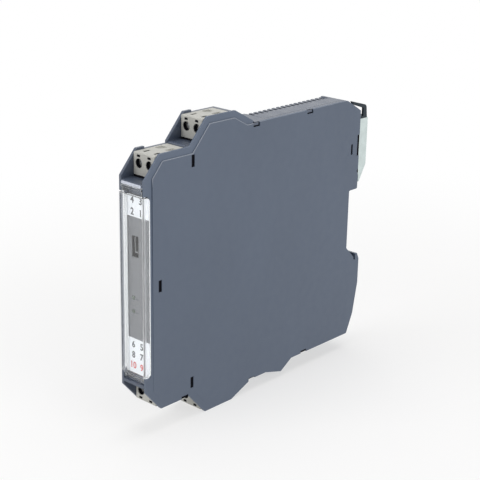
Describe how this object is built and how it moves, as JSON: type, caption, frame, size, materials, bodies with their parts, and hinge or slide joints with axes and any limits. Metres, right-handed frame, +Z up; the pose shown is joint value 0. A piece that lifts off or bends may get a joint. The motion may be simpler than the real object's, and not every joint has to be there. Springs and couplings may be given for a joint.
{
  "type": "signal isolator",
  "caption": "Slim rail-mounted signal isolator with plug-in screw terminals in two tiers at both ends, a clear hinged front cover and a sprung metal foot catch.",
  "frame": {"origin": "middle of the rail, on the plane where the rail's flanges bear, halfway across the housing", "axes": "+X across the housing towards the removable side cover, +Y from the front to the rail, +Z up"},
  "size_m": [0.0126, 0.1195, 0.11],
  "materials": {
    "housing_plastic": "fine moulded",
    "clear_plastic": "clear moulded",
    "panel_grey": "printed film",
    "label_white": "printed film",
    "black_plastic": "moulded",
    "lamp_lens": "diffuse lens",
    "board_green": "solder mask",
    "capacitor_sleeve": "sleeve",
    "zinc_steel": "zinc plated",
    "slider_plastic": "moulded",
    "terminal_plastic": "moulded",
    "tinned_brass": "tinned",
    "screw_steel": "zinc plated"
  },
  "bodies": {
    "housing": {"main_shell": "housing_plastic", "side_cover": "housing_plastic", "label_panel": "panel_grey", "label_top": "label_white", "label_low": "label_white", "port_socket": "black_plastic", "lamp_upper": "lamp_lens", "lamp_lower": "lamp_lens", "circuit_board": "board_green", "transformer": "black_plastic", "capacitors": "capacitor_sleeve", "coupler_chips": "black_plastic", "header_front_top": "black_plastic", "header_rear_top": "black_plastic", "header_front_low": "black_plastic", "header_rear_low": "black_plastic", "pins_front_top": "tinned_brass", "pins_rear_top": "tinned_brass", "pins_front_low": "tinned_brass", "pins_rear_low": "tinned_brass"},
    "cover": {"front_cover": "clear_plastic"},
    "catch": {"foot_catch": "zinc_steel", "catch_slider": "slider_plastic"},
    "plug_front_top_body": {"plug_front_top": "terminal_plastic", "contacts_front_top": "tinned_brass"},
    "screw_front_top_left_body": {"screw_front_top_left": "screw_steel"},
    "clamp_front_top_left_body": {"clamp_front_top_left": "zinc_steel"},
    "screw_front_top_right_body": {"screw_front_top_right": "screw_steel"},
    "clamp_front_top_right_body": {"clamp_front_top_right": "zinc_steel"},
    "plug_rear_top_body": {"plug_rear_top": "terminal_plastic", "contacts_rear_top": "tinned_brass"},
    "screw_rear_top_left_body": {"screw_rear_top_left": "screw_steel"},
    "clamp_rear_top_left_body": {"clamp_rear_top_left": "zinc_steel"},
    "screw_rear_top_right_body": {"screw_rear_top_right": "screw_steel"},
    "clamp_rear_top_right_body": {"clamp_rear_top_right": "zinc_steel"},
    "plug_front_low_body": {"plug_front_low": "terminal_plastic", "contacts_front_low": "tinned_brass"},
    "screw_front_low_left_body": {"screw_front_low_left": "screw_steel"},
    "clamp_front_low_left_body": {"clamp_front_low_left": "zinc_steel"},
    "screw_front_low_right_body": {"screw_front_low_right": "screw_steel"},
    "clamp_front_low_right_body": {"clamp_front_low_right": "zinc_steel"},
    "plug_rear_low_body": {"plug_rear_low": "terminal_plastic", "contacts_rear_low": "tinned_brass"},
    "screw_rear_low_left_body": {"screw_rear_low_left": "screw_steel"},
    "clamp_rear_low_left_body": {"clamp_rear_low_left": "zinc_steel"},
    "screw_rear_low_right_body": {"screw_rear_low_right": "screw_steel"},
    "clamp_rear_low_right_body": {"clamp_rear_low_right": "zinc_steel"}
  },
  "joints": [
    {"name": "cover_hinge", "type": "hinge", "parent": "housing", "child": "cover", "pos_m": [0, -0.1131, -0.0343], "axis": [1, 0, 0], "range_deg": [0, 90]},
    {"name": "catch_slide", "type": "slide", "parent": "housing", "child": "catch", "axis": [0, 0, 1], "range_m": [0, 0.003], "stiffness_N_per_m": 400, "springref_m": -0.003},
    {"name": "plug_front_top_pull", "type": "slide", "parent": "housing", "child": "plug_front_top_body", "axis": [0, -1, 0], "range_m": [0, 0.012]},
    {"name": "screw_front_top_left_turn", "type": "hinge", "parent": "plug_front_top_body", "child": "screw_front_top_left_body", "pos_m": [-0.00254, -0.1055, 0.0415], "axis": [0, 1, 0], "continuous": true},
    {"name": "clamp_front_top_left_slide", "type": "slide", "parent": "plug_front_top_body", "child": "clamp_front_top_left_body", "axis": [0, -1, 0], "range_m": [0, 0.002]},
    {"name": "screw_front_top_right_turn", "type": "hinge", "parent": "plug_front_top_body", "child": "screw_front_top_right_body", "pos_m": [0.00254, -0.1055, 0.0415], "axis": [0, 1, 0], "continuous": true},
    {"name": "clamp_front_top_right_slide", "type": "slide", "parent": "plug_front_top_body", "child": "clamp_front_top_right_body", "axis": [0, -1, 0], "range_m": [0, 0.002]},
    {"name": "plug_rear_top_pull", "type": "slide", "parent": "housing", "child": "plug_rear_top_body", "axis": [0, -1, 0], "range_m": [0, 0.012]},
    {"name": "screw_rear_top_left_turn", "type": "hinge", "parent": "plug_rear_top_body", "child": "screw_rear_top_left_body", "pos_m": [-0.00254, -0.0835, 0.0505], "axis": [0, 1, 0], "continuous": true},
    {"name": "clamp_rear_top_left_slide", "type": "slide", "parent": "plug_rear_top_body", "child": "clamp_rear_top_left_body", "axis": [0, -1, 0], "range_m": [0, 0.002]},
    {"name": "screw_rear_top_right_turn", "type": "hinge", "parent": "plug_rear_top_body", "child": "screw_rear_top_right_body", "pos_m": [0.00254, -0.0835, 0.0505], "axis": [0, 1, 0], "continuous": true},
    {"name": "clamp_rear_top_right_slide", "type": "slide", "parent": "plug_rear_top_body", "child": "clamp_rear_top_right_body", "axis": [0, -1, 0], "range_m": [0, 0.002]},
    {"name": "plug_front_low_pull", "type": "slide", "parent": "housing", "child": "plug_front_low_body", "axis": [0, -1, 0], "range_m": [0, 0.012]},
    {"name": "screw_front_low_left_turn", "type": "hinge", "parent": "plug_front_low_body", "child": "screw_front_low_left_body", "pos_m": [-0.00254, -0.1055, -0.0415], "axis": [0, 1, 0], "continuous": true},
    {"name": "clamp_front_low_left_slide", "type": "slide", "parent": "plug_front_low_body", "child": "clamp_front_low_left_body", "axis": [0, -1, 0], "range_m": [0, 0.002]},
    {"name": "screw_front_low_right_turn", "type": "hinge", "parent": "plug_front_low_body", "child": "screw_front_low_right_body", "pos_m": [0.00254, -0.1055, -0.0415], "axis": [0, 1, 0], "continuous": true},
    {"name": "clamp_front_low_right_slide", "type": "slide", "parent": "plug_front_low_body", "child": "clamp_front_low_right_body", "axis": [0, -1, 0], "range_m": [0, 0.002]},
    {"name": "plug_rear_low_pull", "type": "slide", "parent": "housing", "child": "plug_rear_low_body", "axis": [0, -1, 0], "range_m": [0, 0.012]},
    {"name": "screw_rear_low_left_turn", "type": "hinge", "parent": "plug_rear_low_body", "child": "screw_rear_low_left_body", "pos_m": [-0.00254, -0.0835, -0.0505], "axis": [0, 1, 0], "continuous": true},
    {"name": "clamp_rear_low_left_slide", "type": "slide", "parent": "plug_rear_low_body", "child": "clamp_rear_low_left_body", "axis": [0, -1, 0], "range_m": [0, 0.002]},
    {"name": "screw_rear_low_right_turn", "type": "hinge", "parent": "plug_rear_low_body", "child": "screw_rear_low_right_body", "pos_m": [0.00254, -0.0835, -0.0505], "axis": [0, 1, 0], "continuous": true},
    {"name": "clamp_rear_low_right_slide", "type": "slide", "parent": "plug_rear_low_body", "child": "clamp_rear_low_right_body", "axis": [0, -1, 0], "range_m": [0, 0.002]}
  ],
  "couplings": [
    {"joint": "screw_front_top_left_turn", "follows": "clamp_front_top_left_slide", "rad_per_m": 12566},
    {"joint": "screw_front_top_right_turn", "follows": "clamp_front_top_right_slide", "rad_per_m": 12566},
    {"joint": "screw_rear_top_left_turn", "follows": "clamp_rear_top_left_slide", "rad_per_m": 12566},
    {"joint": "screw_rear_top_right_turn", "follows": "clamp_rear_top_right_slide", "rad_per_m": 12566},
    {"joint": "screw_front_low_left_turn", "follows": "clamp_front_low_left_slide", "rad_per_m": 12566},
    {"joint": "screw_front_low_right_turn", "follows": "clamp_front_low_right_slide", "rad_per_m": 12566},
    {"joint": "screw_rear_low_left_turn", "follows": "clamp_rear_low_left_slide", "rad_per_m": 12566},
    {"joint": "screw_rear_low_right_turn", "follows": "clamp_rear_low_right_slide", "rad_per_m": 12566}
  ]
}
